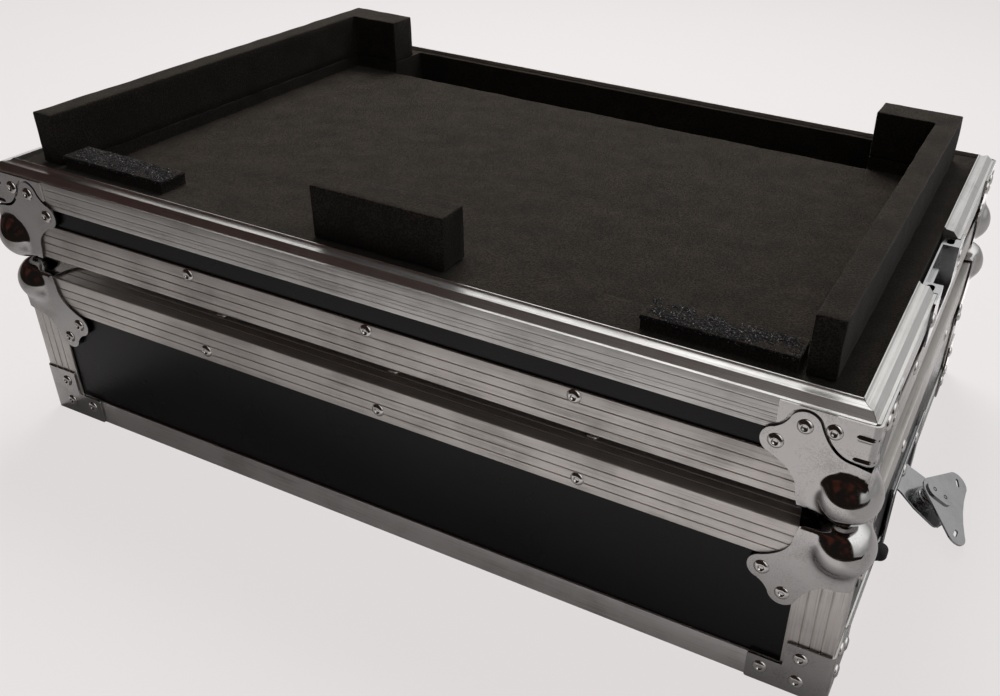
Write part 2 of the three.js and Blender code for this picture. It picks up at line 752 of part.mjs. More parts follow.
// The keeper dish in the base's rim: a tray under the ledge, a bar for the claw and two end tabs
function keeperDish() {
  const low = ledgeZ - keeperDrop;
  const top = ledgeZ - seatGap;
  const back = -recessDepth - sheetThick;
  const tray = block(back, plateOut, -keeperHalf - sheetThick, keeperHalf + sheetThick,
    low - sheetThick, top);
  const flange = sidePlate(recessHalf + flangeWide, low - keeperFlangeDrop, top, seatGap, plateOut);
  const tabs = block(back, plateOut, -baseDishHalf, baseDishHalf, top - sheetThick, top);
  const hollow = block(-recessDepth, plateOut + overrun, -keeperHalf, keeperHalf, low, top + overrun);
  const hole = solid(surface(slab(roundedBar(tabHoleLong, tabHoleWide), low, top + overrun))
    .rotateZ(quarterTurn));
  const holes = [1, -1].map((s) => hole
    .translate([back / 2, s * (keeperHalf + sheetThick + (keeperTab - sheetThick) / 2), 0]));
  const barTop = top - barDrop;
  const bar = block(-recessDepth - sheetThick / 2, -recessDepth + barDeep,
    -barHalf, barHalf, barTop - barThick, barTop);
  let body = joined(tray, flange, tabs).subtract(hollow);
  holes.forEach((h) => { body = body.subtract(h); });
  return joined(body, bar);
}

function keepers(group) {
  for (const [name, sign] of [['right', 1], ['left', -1]]) {
    const item = mesh(`keeper_dish_${name}`, keeperDish(), zinc, group);
    item.position.set(sign * halfWidth, latchY, 0);
    item.rotation.z = sign > 0 ? 0 : Math.PI;
  }
}

// The foam bed fills the base; its pocket holds the deck and its trench takes the cables
function foamBed() {
  const x = halfWidth - tongueEnd - foamGap;
  const y = halfDepth - tongueEnd - foamGap;
  const low = baseBottom + panelInset + panelThick + seatGap;
  const floorZ = bedTop - pocketSink;
  const pocket = block(-pocketX, pocketX, pocketFrontY, pocketRearY, floorZ, bedTop + overrun);
  const trenchX = pocketX + wallFoam - returnReach;
  const trench = block(-trenchX, trenchX, pocketRearY - overrun, halfDepth - trenchBack,
    bedTop - trenchSink, bedTop + overrun);
  const padX = pocketX - padGap;
  const padY = -halfDepth + wallFront;
  const pads = [1, -1].map((s) => block(Math.min(s * padX, s * (padX - padWidth)),
    Math.max(s * padX, s * (padX - padWidth)), padY, padY + padDeep, floorZ, bedTop + padRise));
  return joined(block(-x, x, -y, y, low, bedTop).subtract(pocket).subtract(trench), ...pads);
}

// A side wall of foam with its return round the deck's rear corner
function foamWall(sign) {
  const outer = pocketX + wallFoam;
  const front = wallFront - halfDepth;
  const back = halfDepth - wallBack;
  const shape = new THREE.Shape();
  shape.moveTo(sign * pocketX, front);
  shape.lineTo(sign * outer, front);
  shape.lineTo(sign * outer, back);
  shape.lineTo(sign * (outer - returnReach), back);
  shape.lineTo(sign * (outer - returnReach), pocketRearY);
  shape.lineTo(sign * pocketX, pocketRearY);
  return slab(shape, bedTop + foamGap, foamTop);
}

function foamPieces(group) {
  mesh('foam_bed', foamBed(), foam, group);
  mesh('foam_wall_right', foamWall(1), foam, group);
  mesh('foam_wall_left', foamWall(-1), foam, group);
  const front = -halfDepth + wallFront;
  mesh('foam_front_block', block(-blockHalf, blockHalf, front, front + blockDeep,
    bedTop + foamGap, foamTop - blockDrop), foam, group);
}

function lidFoam(group) {
  const x = halfWidth - lidFoamInset;
  const y = halfDepth - lidFoamInset;
  const top = lidTopUnder - foamGap;
  mesh('lid_foam_pad', block(-x, x, -y, y, top - lidFoamThick, top), foam, group);
}

const lid = new THREE.Group();
lidPanels(lid);
lidRails(lid);
ballCorners('lid', 1, lidHeight, lid);
lidBraces(lid);
lidFoam(lid);
latch('right', 1, lid);
latch('left', -1, lid);

const base = new THREE.Group();
base.position.x = baseShift;
basePanels(base);
baseRails(base);
ballCorners('base', -1, baseBottom, base);
baseBraces(base);
keepers(base);
foamPieces(base);

const flightCase = new THREE.Group();
flightCase.add(lid, base);
flightCase.updateMatrixWorld(true);

export default flightCase;
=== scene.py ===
import math

import bmesh
import bpy
from mathutils import Matrix, Vector, geometry, noise


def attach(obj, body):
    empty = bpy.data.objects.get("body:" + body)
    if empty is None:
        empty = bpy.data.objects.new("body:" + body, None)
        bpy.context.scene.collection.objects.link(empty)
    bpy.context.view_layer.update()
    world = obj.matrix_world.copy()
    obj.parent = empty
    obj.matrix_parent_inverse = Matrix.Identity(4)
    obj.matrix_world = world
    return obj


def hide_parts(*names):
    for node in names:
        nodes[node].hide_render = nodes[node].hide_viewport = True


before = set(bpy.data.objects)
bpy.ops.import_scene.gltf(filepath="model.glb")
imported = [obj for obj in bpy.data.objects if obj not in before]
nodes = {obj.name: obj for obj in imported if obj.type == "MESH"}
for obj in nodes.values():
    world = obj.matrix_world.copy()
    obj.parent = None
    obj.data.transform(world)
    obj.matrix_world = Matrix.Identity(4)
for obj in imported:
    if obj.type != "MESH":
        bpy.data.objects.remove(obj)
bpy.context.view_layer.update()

mm = 0.001

# The view: a camera a little above the case and to the right of its front. Its place, its turn
# and its focal length were fitted to the photo.
camera_place = Vector((356.4, -641.72, 496.13)) * mm
camera_right = Vector((0.9005, 0.4325, 0.0450))
camera_down = Vector((0.2646, -0.4630, -0.8460))
focal_px = 1011.75
centre_px = Vector((604.7, 353.99))
image_px = Vector((1000, 696))
sensor_mm = 36.0

camera = bpy.data.cameras.new("camera")
camera.sensor_width = sensor_mm
camera.lens = focal_px / image_px.x * sensor_mm
camera.shift_x = -(centre_px.x - image_px.x / 2) / image_px.x
camera.shift_y = (centre_px.y - image_px.y / 2) / image_px.x
camera.clip_start = 0.01
camera_object = bpy.data.objects.new("camera", camera)
right = camera_right.normalized()
back = right.cross(-camera_down).normalized()
turn = Matrix((right, back.cross(right), back)).transposed().to_4x4()
camera_object.matrix_world = Matrix.Translation(camera_place) @ turn
bpy.context.collection.objects.link(camera_object)
bpy.context.scene.camera = camera_object
bpy.context.scene.view_settings.view_transform = "Standard"


# Short forms for the shader nodes that all finishes are made of. A finish takes its patterns
# from a piece's own coordinates, in metres, so that they ride with the piece.
def shader_node(tree, kind, inputs=None, **settings):
    """Adds a node; a socket given as an input is linked, anything else is set."""
    node = tree.nodes.new(kind)
    for name, value in settings.items():
        setattr(node, name, value)
    for name, value in (inputs or {}).items():
        if isinstance(value, bpy.types.NodeSocket):
            tree.links.new(value, node.inputs[name])
        else:
            node.inputs[name].default_value = value
    return node


def finish_of(name, metallic, roughness, specular=0.5):
    """A new material, the tree that its pattern goes in, and its Principled shader."""
    material = bpy.data.materials.new(name)
    material.use_nodes = True
    tree = material.node_tree
    shader = tree.nodes["Principled BSDF"]
    shader.inputs["Metallic"].default_value = metallic
    shader.inputs["Roughness"].default_value = roughness
    shader.inputs["Specular IOR Level"].default_value = specular
    return material, tree, shader


def place_of(tree, scale=(1, 1, 1)):
    coordinates = shader_node(tree, "ShaderNodeTexCoord").outputs["Object"]
    return shader_node(tree, "ShaderNodeMapping", {"Vector": coordinates, "Scale": scale}).outputs["Vector"]


def noise_of(tree, vector, scale, detail=2.0, rough=0.5):
    inputs = {"Vector": vector, "Scale": scale, "Detail": detail, "Roughness": rough}
    return shader_node(tree, "ShaderNodeTexNoise", inputs).outputs["Fac"]


def math_of(tree, operation, *values):
    return shader_node(tree, "ShaderNodeMath", dict(enumerate(values)), operation=operation).outputs[0]


def mix_of(tree, share, first, second):
    """The first shader, with a share of the second in its place."""
    return shader_node(tree, "ShaderNodeMixShader", {0: share, 1: first, 2: second}).outputs[0]


def ramp_of(tree, value, low, high, low_colour, high_colour):
    """A colour that goes from one to another as a value goes from low to high."""
    ramp = shader_node(tree, "ShaderNodeValToRGB", {"Fac": value})
    ramp.color_ramp.elements[0].position = low
    ramp.color_ramp.elements[0].color = low_colour
    ramp.color_ramp.elements[1].position = high
    ramp.color_ramp.elements[1].color = high_colour
    return ramp.outputs["Color"]


def range_of(tree, value, to_low, to_high, low=0.0, high=1.0):
    """A number that goes from to_low to to_high as a value goes from low to high."""
    node = shader_node(tree, "ShaderNodeMapRange", {"Value": value, "From Min": low, "From Max": high,
                                                    "To Min": to_low, "To Max": to_high})
    return node.outputs["Result"]


def bump_of(tree, shader, height, distance, strength, under=None):
    """Roughens a shader's surface in light only, on top of what another bump gave."""
    inputs = {"Height": height, "Distance": distance, "Strength": strength}
    if under is not None:
        inputs["Normal"] = under
    bump = shader_node(tree, "ShaderNodeBump", inputs)
    tree.links.new(bump.outputs["Normal"], shader.inputs["Normal"])
    return bump.outputs["Normal"]


# Two soft lamps light the case: a strong one from behind on the left and a weak one over the
# front. The metal doesn't mirror them, only the surround, the floor and the case itself.
lamp_size = (1.0, 0.8)


def area_lamp(name, place, aim, power):
    lamp = bpy.data.lights.new(name, "AREA")
    lamp.shape = "RECTANGLE"
    lamp.size, lamp.size_y = lamp_size
    lamp.energy = power
    lamp_object = bpy.data.objects.new(name, lamp)
    lamp_object.location = place
    lamp_object.rotation_euler = (Vector(aim) - Vector(place)).to_track_quat("-Z", "Y").to_euler()
    lamp_object.visible_glossy = False
    bpy.context.collection.objects.link(lamp_object)


area_lamp("lamp_behind", (-0.4, 0.85, 1.6), (0.0, -0.05, 0.1), 58)
area_lamp("lamp_over", (0.4, -0.35, 1.7), (0.1, -0.3, 0), 2.5)

# The surround is one pale tone to the camera, and gives a weak even light. The metal shows a
# wall behind and to the right of the case, brighter higher up, and a dark room on its other side.
pale = (0.79, 0.757, 0.755, 1)
world = bpy.data.worlds.new("surround")
world.use_nodes = True
bpy.context.scene.world = world
tree = world.node_tree
tree.nodes.clear()
direction = shader_node(tree, "ShaderNodeTexCoord").outputs["Generated"]
room_way = Vector((-0.65, -0.76, -0.03)).normalized()
toward_room = shader_node(tree, "ShaderNodeVectorMath", {0: direction, 1: room_way}, operation="DOT_PRODUCT")
wall = ramp_of(tree, toward_room.outputs["Value"], 0.02, 0.1, (1, 1, 1, 1), (0, 0, 0, 1))
height = shader_node(tree, "ShaderNodeSeparateXYZ", {0: direction}).outputs["Z"]
level = range_of(tree, height, 0.42, 1.6, 0.1, 0.75)
lit_wall = shader_node(tree, "ShaderNodeVectorMath", {0: wall, 1: level}, operation="MULTIPLY")
things = noise_of(tree, direction, 2.3)
room = ramp_of(tree, things, 0.5, 0.74, (0.014, 0.012, 0.011, 1), (0.075, 0.024, 0.016, 1))
all_round = shader_node(tree, "ShaderNodeVectorMath", {0: lit_wall.outputs[0], 1: room}, operation="MAXIMUM")
in_metal = shader_node(tree, "ShaderNodeBackground", {"Color": all_round.outputs[0], "Strength": 1.0})
light = shader_node(tree, "ShaderNodeBackground", {"Color": (0.9, 0.9, 0.92, 1), "Strength": 0.16})
seen = shader_node(tree, "ShaderNodeBackground", {"Color": pale, "Strength": 1.0})
path = shader_node(tree, "ShaderNodeLightPath").outputs
surround = mix_of(tree, path["Is Glossy Ray"], light.outputs[0], in_metal.outputs[0])
surround = mix_of(tree, path["Is Camera Ray"], surround, seen.outputs[0])
shader_node(tree, "ShaderNodeOutputWorld", {"Surface": surround})

# The floor is matt pale paper, lifted towards an even tone for the camera. What the metal shows of it is
# painted light and shade: an even painted glow in front of the case, painted shade dimmer on its right and
# dark on its left, and painted dark far in front.
reach = 6.0
floor_mesh = bpy.data.meshes.new("floor")
floor_mesh.from_pydata([(-reach, -reach, 0), (reach, -reach, 0), (reach, reach, 0), (-reach, reach, 0)],
                       [], [(0, 1, 2, 3)])
floor = bpy.data.objects.new("floor", floor_mesh)
bpy.context.collection.objects.link(floor)
floor_material = bpy.data.materials.new("floor_paper")
floor_material.use_nodes = True
floor_mesh.materials.append(floor_material)
tree = floor_material.node_tree
tree.nodes.clear()
path = shader_node(tree, "ShaderNodeLightPath").outputs
spot = shader_node(tree, "ShaderNodeSeparateXYZ", {0: place_of(tree)}).outputs


def for_metal(share):
    """Keeps a share of a tone only for what the metal shows."""
    return math_of(tree, "MULTIPLY", share, path["Is Glossy Ray"])


def tone(colour, strength):
    return shader_node(tree, "ShaderNodeEmission", {"Color": colour, "Strength": strength}).outputs[0]


paper = shader_node(tree, "ShaderNodeBsdfDiffuse", {"Color": pale}).outputs[0]
for_camera = math_of(tree, "MULTIPLY", path["Is Camera Ray"], 0.9)
aslant = math_of(tree, "MULTIPLY_ADD", spot["X"], -0.14, spot["Y"])
# Shares of painted light and painted shade on the floor, seen only in the metal.
painted_glow_in_front = range_of(tree, aslant, 0.0, 0.85, -0.25, -0.4)
painted_dim_on_right = range_of(tree, spot["X"], 0.0, 0.9, 0.33, 0.42)
painted_dark_far_in_front = range_of(tree, spot["Y"], 0.0, 1.0, -0.53, -0.56)
painted_shade_on_left = range_of(tree, spot["X"], 0.0, 0.68, 0.0, -0.5)
painted_dark_side = math_of(tree, "MAXIMUM", painted_dark_far_in_front, painted_shade_on_left)
# For glossy rays the floor glows as painted light in front, and painted shade dims it on the right and
# darkens it on the left and far in front.
ground = mix_of(tree, math_of(tree, "MAXIMUM", for_camera, for_metal(painted_glow_in_front)), paper, tone(pale, 1.0))
ground = mix_of(tree, for_metal(painted_dim_on_right), ground, tone(pale, 0.6))
ground = mix_of(tree, for_metal(painted_dark_side), ground, tone((0.016, 0.012, 0.01, 1), 1.0))
shader_node(tree, "ShaderNodeOutputMaterial", {"Surface": ground})

# The layout: the lid stands on its rim, with the base on top of it and a little to the left. A
# side is given by the way it faces and by its turn from the front, in degrees.
sides = {"front": (0, -1, 0), "right": (1, 0, 90), "back": (0, 1, 180), "left": (-1, 0, -90)}
corners = {"front_left": (-1, -1), "front_right": (1, -1), "back_left": (-1, 1), "back_right": (1, 1)}
half_width, half_depth = 320 * mm, 211 * mm
lid_height, base_bottom, base_shift = 127 * mm, 143 * mm, -4 * mm
skin, mitre_gap, corner_cut = 1.6 * mm, 0.2 * mm, 2.4 * mm


def piece_of(mesh, name, body, material, replaced=(), sharp=35):
    """Links a mesh as a piece that rides on a body. Edges of more than so many degrees stay
    sharp; None is for a mesh that is shaded already. A mesh with materials keeps them."""
    mesh.name = name
    if not mesh.materials:
        mesh.materials.append(material)
    if sharp:
        mesh.shade_smooth()
        mesh.set_sharp_from_angle(angle=math.radians(sharp))
    piece = bpy.data.objects.new(name, mesh)
    bpy.context.collection.objects.link(piece)
    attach(piece, body)
    if replaced:
        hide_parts(*replaced)
    return piece


def finished(made, name):
    """A real mesh from a working one, which is freed."""
    mesh = bpy.data.meshes.new(name)
    made.to_mesh(mesh)
    made.free()
    return mesh


def joined(meshes):
    made = bmesh.new()
    for mesh in meshes:
        made.from_mesh(mesh)
    return finished(made, "joined")


def between(made, first, last, name):
    """A solid between two matching rings of points, with flat ends."""
    count = len(first)
    for i in range(count):
        j = (i + 1) % count
        made.faces.new((first[i], last[i], last[j], first[j]))
    ends = [made.faces.new(first), made.faces.new(list(reversed(last)))]
    bmesh.ops.triangulate(made, faces=ends)
    bmesh.ops.recalc_face_normals(made, faces=made.faces)
    return finished(made, name)


def bar(section, half_length, start=None, end=None):
    """A run along X; an end without a place is cut at 45 degrees for its neighbour."""
    def reach(inward):
        return half_length - mitre_gap - max(inward, corner_cut - inward)
    made = bmesh.new()
    rings = [[made.verts.new((sign * reach(p.x) if limit is None else limit, p.x, p.y)) for p in section]
             for sign, limit in ((-1, start), (1, end))]
    return between(made, rings[0], rings[1], "bar")


def upright(outline, low, high):
    """A prism over an outline, from one height to another."""
    made = bmesh.new()
    rings = [[made.verts.new((p.x, p.y, z)) for p in outline] for z in (low, high)]
    return between(made, rings[1], rings[0], "upright")


def on_side(mesh, side, shift):
    """Turns a run drawn for the front to its own side of the lid or the base."""
    sx, sy, turn = sides[side]
    move = Matrix.Translation((sx * half_width + shift, sy * half_depth, 0))
    mesh.transform(move @ Matrix.Rotation(math.radians(turn), 4, "Z"))
    return mesh


def corner_basis(sx, sy, sz, z, shift=0.0):
    """Places what is drawn at the corner of faces that look along +X, +Y and +Z."""
    first, second = Vector((sx, 0, 0)), Vector((0, sy, 0))
    if sx * sy * sz < 0:
        first, second = second, first
    turn = Matrix((first, second, Vector((0, 0, sz)))).transposed().to_4x4()
    return Matrix.Translation((sx * half_width + shift, sy * half_depth, z)) @ turn


# The panels are 9 mm plywood faced with a black phenolic laminate, cut to size and held
# between the aluminium angles and rims. The laminate is near black with a fine pebbled grain.
laminate, tree, shader = finish_of("black_laminate", 0.0, 0.28, 0.24)
place = place_of(tree)
grain = noise_of(tree, place, 900, 3.0, 0.6)
cloud = noise_of(tree, place, 14, 4.0, 0.6)
tint = ramp_of(tree, cloud, 0.3, 0.75, (0.0022, 0.0015, 0.0014, 1), (0.0046, 0.0031, 0.0030, 1))
tree.links.new(tint, shader.inputs["Base Color"])
tree.links.new(range_of(tree, cloud, 0.25, 0.33, 0.3, 0.7), shader.inputs["Roughness"])
bump_of(tree, shader, grain, 0.00012, 0.7)
panels = ["lid_top_panel", "base_bottom_panel", "base_wall_frame"]
for name in panels + [f"lid_{side}_panel" for side in sides]:
    nodes[name].data.materials.clear()
    nodes[name].data.materials.append(laminate)

# The ribbed angles are extruded aluminium, left bright and dulled by handling. Each leg has
# three fine grooves and rounded lips. They are mitred at the corners and riveted to the panels.
rail_leg, post_leg, groove_pitch, groove_width, groove_depth = 28 * mm, 30 * mm, 6.7 * mm, 1 * mm, 0.6 * mm
lid_first_groove, base_first_groove, post_first_groove = 8.4 * mm, 5.8 * mm, 8 * mm
post_low, post_high = 20.2 * mm, 98.8 * mm
edge_bend, edge_flat, lip_round, inner_round = 0.9 * mm, 2 * mm, 0.5 * mm, 0.3 * mm


def drawn_aluminium(name, along, light, dark, roughness):
    """Aluminium whose drawing marks run along one axis of the case and spread its shine across."""
    material, tree, shader = finish_of(name, 1.0, roughness)
    run = shader_node(tree, "ShaderNodeCombineXYZ", {"XYZ"[i]: float(i == along) for i in range(3)})
    tree.links.new(run.outputs["Vector"], shader.inputs["Tangent"])
    shader.inputs["Anisotropic"].default_value = 0.8
    shader.inputs["Anisotropic Rotation"].default_value = 0.25
    stretch = [9.0, 9.0, 9.0]
    stretch[along] = 0.12
    streak = noise_of(tree, place_of(tree, stretch), 130, 3.0, 0.65)
    cloud = noise_of(tree, place_of(tree), 22, 4.0, 0.65)
    both = math_of(tree, "ADD", streak, cloud)
    tree.links.new(ramp_of(tree, both, 0.75, 1.25, dark, light), shader.inputs["Base Color"])
    rough = range_of(tree, both, roughness + 0.06, roughness - 0.05, 0.8, 1.2)
    tree.links.new(rough, shader.inputs["Roughness"])
    bump_of(tree, shader, streak, 0.00006, 0.4)
    return material


def drawn_set(name, light, dark, roughness, painted_shade_levels):
    """The same aluminium for runs along X, Y and Z, each scaled by a painted shade level of its own."""
    return [drawn_aluminium(f"{name}_{'xyz'[i]}", i, [c * tone for c in light], [c * tone for c in dark],
                            roughness)
            for i, tone in enumerate(painted_shade_levels)]


def rounded(points, radii):
    """A closed outline whose corners are rounded, each by its own radius."""
    done = []
    count, steps = len(points), 4
    for i, (p, radius) in enumerate(zip(points, radii)):
        p = Vector(p)
        if not radius:
            done.append(p)
            continue
        before, after = Vector(points[i - 1]) - p, Vector(points[(i + 1) % count]) - p
        cut = min(radius, before.length * 0.48, after.length * 0.48)
        start, end = p + before.normalized() * cut, p + after.normalized() * cut
        for k in range(steps + 1):
            t = k / steps
            done.append(start * (1 - t) ** 2 + p * 2 * t * (1 - t) + end * t ** 2)
    return done


def groove(centre, width, depth):
    """A groove with soft lips across a straight face, as (along, in) pairs."""
    shape = ((-0.65, 0), (-0.5, 0), (-0.36, 0.18), (-0.2, 0.85), (0, 1),
             (0.2, 0.85), (0.36, 0.18), (0.5, 0), (0.65, 0))
    return [(centre + a * width, depth * d) for a, d in shape]


def angle_section(leg, first, face, down):
    """The ribbed angle's section, as (distance in, height), for a corner at (0, face)."""
    grooves = [g for k in range(3) for g in groove(first + k * groove_pitch, groove_width, groove_depth)]
    points = [(0, leg)] + [(d, s) for s, d in reversed(grooves)] + [(0, edge_flat), (0, 0), (edge_flat, 0)]
    radii = [lip_round] + [0] * len(grooves) + [0, edge_bend, 0]
    points += grooves + [(leg, 0), (leg, skin), (skin, skin), (skin, leg)]
    radii += [0] * len(grooves) + [lip_round, lip_round, inner_round, lip_round]
    return [Vector((p.x, face + down * p.y)) for p in rounded(points, radii)]


# Painted shade: runs along Y, on the sides, are coloured 0.62 as bright as those along X, and the upright
# posts 0.84.
rail_along = drawn_set("ribbed_aluminium", (0.82, 0.785, 0.745, 1), (0.64, 0.61, 0.575, 1), 0.38,
                       (1, 0.62, 0.84))
for side in sides:
    long_side = side in ("front", "back")
    for prefix, first, face, down, shift in (("lid", lid_first_groove, lid_height, -1, 0),
                                             ("base", base_first_groove, base_bottom, 1, base_shift)):
        run = bar(angle_section(rail_leg, first, face, down), half_width if long_side else half_depth)
        piece_of(on_side(run, side, shift), f"{prefix}_ribbed_angle_{side}", prefix,
                 rail_along[0 if long_side else 1], [f"{prefix}_edge_rail_{side}"])
post_section = [Vector((-p.x, -p.y)) for p in angle_section(post_leg, post_first_groove, 0, 1)]
for corner, (sx, sy) in corners.items():
    post = upright(post_section, post_low, post_high)
    post.transform(corner_basis(sx, sy, 1, 0))
    piece_of(post, f"lid_ribbed_post_{corner}", "lid", rail_along[2],
             [f"lid_corner_rail_{corner}"])

# The rims are smoother extrusions, mitred round the mouth and cut for the latch and its keeper.
# The base's stands up in a tongue with a hollowed top; the lid's is a band with a groove under it.
# Painted shade: the rims along Y, on the sides, are coloured 0.72 as bright as those along X.
rim_along = drawn_set("rim_aluminium", (0.87, 0.86, 0.835, 1), (0.66, 0.65, 0.625, 1), 0.36, (1, 0.72))
ledge, rim_low, tongue_top, tongue_end, inner = 205 * mm, 185 * mm, 211 * mm, 12.4 * mm, 11 * mm
depth_share = 0.2
rim_grooves = [(d, z * mm * 2 - s) for z, wide in ((200.1, 0.9), (194.6, 0.8), (192.3, 0.5), (189.0, 0.9))
               for s, d in groove(z * mm, wide * mm, wide * depth_share * mm)]
base_rim = [(0, ledge)] + rim_grooves + [
    (0, rim_low), (skin, rim_low), (skin, ledge - skin), (inner, ledge - skin), (inner, rim_low),
    (tongue_end, rim_low), (tongue_end, tongue_top), (11.6 * mm, tongue_top), (10.9 * mm, 209.9 * mm),
    (8.6 * mm, 209 * mm), (5.6 * mm, 209.3 * mm), (1.9 * mm, ledge)]
base_radii = [0.2 * mm] + [0] * len(rim_grooves) + [
    0.4 * mm, 0.4 * mm, 0, 0, 0, 0.4 * mm, 0.2 * mm, 0.3 * mm, 0.6 * mm, 1.2 * mm, 0.4 * mm, 0.2 * mm]
web, web_top, lid_rim_top, lip_in, lip_end = 6.5 * mm, 8.1 * mm, 20 * mm, 12.7 * mm, 14.1 * mm
lid_rim = [(0, 0), (skin, 0), (skin, web), (lip_in, web), (lip_in, 0), (lip_end, 0),
           (lip_end, web_top), (tongue_end, web_top), (tongue_end, lid_rim_top),
           (inner, lid_rim_top), (inner, web_top), (skin, web_top), (skin, lid_rim_top), (0, lid_rim_top)]
lid_radii = [0.5 * mm, 0.3 * mm, 0, 0, 0.3 * mm, 0.3 * mm, 0.3 * mm, 0, 0.3 * mm, 0.3 * mm, 0, 0,
             0.2 * mm, 1.3 * mm]
latch_y, latch_opening, keeper_opening = -8 * mm, 43.5 * mm, 45.5 * mm
for side in sides:
    long_side = side in ("front", "back")
    latch_at = latch_y if side == "right" else -latch_y
    for prefix, points, radii, opening, shift in (("lid", lid_rim, lid_radii, latch_opening, 0),
                                                  ("base", base_rim, base_radii, keeper_opening, base_shift)):
        section = rounded(points, radii)
        if long_side:
            run = bar(section, half_width)
        else:
            run = joined([bar(section, half_depth, end=latch_at - opening),
                          bar(section, half_depth, start=latch_at + opening)])
        piece_of(on_side(run, side, shift), f"{prefix}_mitred_rim_{side}", prefix,
                 rim_along[0 if long_side else 1], [f"{prefix}_rim_{side}"])

# The ball corners are pressed from zinc-plated steel sheet: a hollow ball over the corner, with
# a soft fillet into three wings, each with two round lobes that take a rivet. Cut edges are painted near
# black, as painted shade.
ball_radius, ball_up, lid_ball_out, base_ball_out = 18.5 * mm, 7.85 * mm, 8.7 * mm, 9.7 * mm
sheet, sheet_out = 1.4 * mm, 1.6 * mm
neck_reach, neck_flat, neck_step, neck_curve = 34.5 * mm, 8 * mm, 1 * mm, 21 * mm
lobe_near, lobe_far, lobe_radius, notch = 36.2 * mm, 50.2 * mm, 8.8 * mm, 47.5 * mm
lobe_outer, lobe_inner = math.radians(60), math.radians(78)
fillet_power, fold_power = 12, 16
hollow_from, hollow_over, hollow_depth = 0.2, 0.3, 0.2


def zinc_of(name, light, dark, roughness):
    """Zinc plate: cloudy, finely speckled and a little dull where hands have been."""
    material, tree, shader = finish_of(name, 1.0, roughness)
    cloud = noise_of(tree, place_of(tree), 60, 4.0, 0.6)
    speck = noise_of(tree, place_of(tree), 1400, 2.0, 0.6)
    both = math_of(tree, "ADD", cloud, speck)
    tree.links.new(ramp_of(tree, both, 0.7, 1.3, dark, light), shader.inputs["Base Color"])
    rough = range_of(tree, cloud, roughness - 0.03, roughness + 0.08, 0.35, 0.7)
    tree.links.new(rough, shader.inputs["Roughness"])
    bump_of(tree, shader, speck, 0.00002, 0.2)
    return material


# A near-black zinc: painted shade on the sheets' cut edges, and the own dark colour of the latch caps'
# rivets.
edge_shade_and_dark_rivets = zinc_of("edge_shade_and_dark_rivets", (0.10, 0.095, 0.09, 1), (0.05, 0.047, 0.045, 1), 0.3)
zinc = zinc_of("zinc_plate", (0.47, 0.46, 0.45, 1), (0.34, 0.33, 0.32, 1), 0.075)


def curve_points(start, control, end, steps):
    """Points of a quadratic curve, without its first."""
    return [start * (1 - t) ** 2 + control * 2 * t * (1 - t) + end * t ** 2
            for t in (i / steps for i in range(1, steps + 1))]


def arc_points(centre, radius, start, end, steps):
    return [centre + Vector((math.cos(a), math.sin(a))) * radius
            for a in (start + (end - start) * i / steps for i in range(steps + 1))]


def wing_edge():
    """The free edge of one wing, as distances in from the corner's two edges."""
    first = arc_points(Vector((lobe_far, lobe_near)), lobe_radius, -lobe_outer, lobe_inner, 16)
    neck = Vector((neck_reach + neck_step, neck_flat))
    half = [Vector((neck_reach, -sheet_out)), neck]
    half += curve_points(neck, Vector((neck_reach + neck_step, neck_curve)), first[0], 10)[:-1] + first
    bottom = Vector((notch + 0.4 * mm, notch + 0.4 * mm))
    half += curve_points(first[-1], Vector((notch + 1.2 * mm, notch - 0.6 * mm)), bottom, 3)
    return half + [Vector((p.y, p.x)) for p in reversed(half[:-1])]


def inside(point, outline):
    hit = False
    for a, b in zip(outline, outline[1:] + outline[:1]):
        if (a.y > point.y) != (b.y > point.y):
            if point.x < (b.x - a.x) * (point.y - a.y) / (b.y - a.y) + a.x:
                hit = not hit
    return hit


def filled(outline, extra, clearance):
    """Triangles that fill an outline, through extra points kept clear of its edge."""
    keep = [p for p in extra
            if inside(p, outline) and min((p - q).length for q in outline) > clearance]
    found = geometry.delaunay_2d_cdt(outline + keep, [], [list(range(len(outline)))], 1, 1e-7)
    return found[0], found[2]


def grid_points(low_x, high_x, low_y, high_y, pitch):
    across = max(1, round((high_x - low_x) / pitch))
    along = max(1, round((high_y - low_y) / pitch))
    return [Vector((low_x + (high_x - low_x) * i / across, low_y + (high_y - low_y) * j / along))
            for i in range(across + 1) for j in range(along + 1)]


def shell_point(flat, centre):
    """Moves a point of the sharp folded sheet to the real one, with its ball, fillet and folds."""
    way = (flat - centre).normalized()
    spread = sum((max(w, 0) / (sheet_out - c)) ** fold_power for w, c in zip(way, centre)) ** (1 / fold_power)
    sheet_reach = 1 / spread
    depth = min(max((min(way) - hollow_from) / hollow_over, 0), 1)
    sheet_reach *= 1 - hollow_depth * depth * depth * (3 - 2 * depth)
    reach = (sheet_reach ** fillet_power + ball_radius ** fillet_power) ** (1 / fillet_power)
    return centre + way * reach


def evaluated(mesh, modifiers):
    """A new mesh: the old one with its modifiers worked out, each as (kind, settings)."""
    mesh.shade_smooth()
    body = bpy.data.objects.new("working", mesh)
    bpy.context.collection.objects.link(body)
    for kind, settings in modifiers:
        modifier = body.modifiers.new(kind.lower(), kind)
        for name, value in settings.items():
            setattr(modifier, name, value)
    done = bpy.data.meshes.new_from_object(body.evaluated_get(bpy.context.evaluated_depsgraph_get()))
    bpy.data.objects.remove(body)
    return done


def edge_round(width, angle, segments=2):
    return ("BEVEL", {"width": width, "segments": segments, "limit_method": "ANGLE",
                      "angle_limit": math.radians(angle), "miter_outer": "MITER_ARC",
                      "use_clamp_overlap": True, "harden_normals": True})


def faced_out(made, outward):
    """Turns all of a sheet's faces out from the case, where outward is above zero."""
    bmesh.ops.recalc_face_normals(made, faces=made.faces)
    if sum(outward(f) for f in made.faces) < 0:
        bmesh.ops.reverse_faces(made, faces=made.faces)


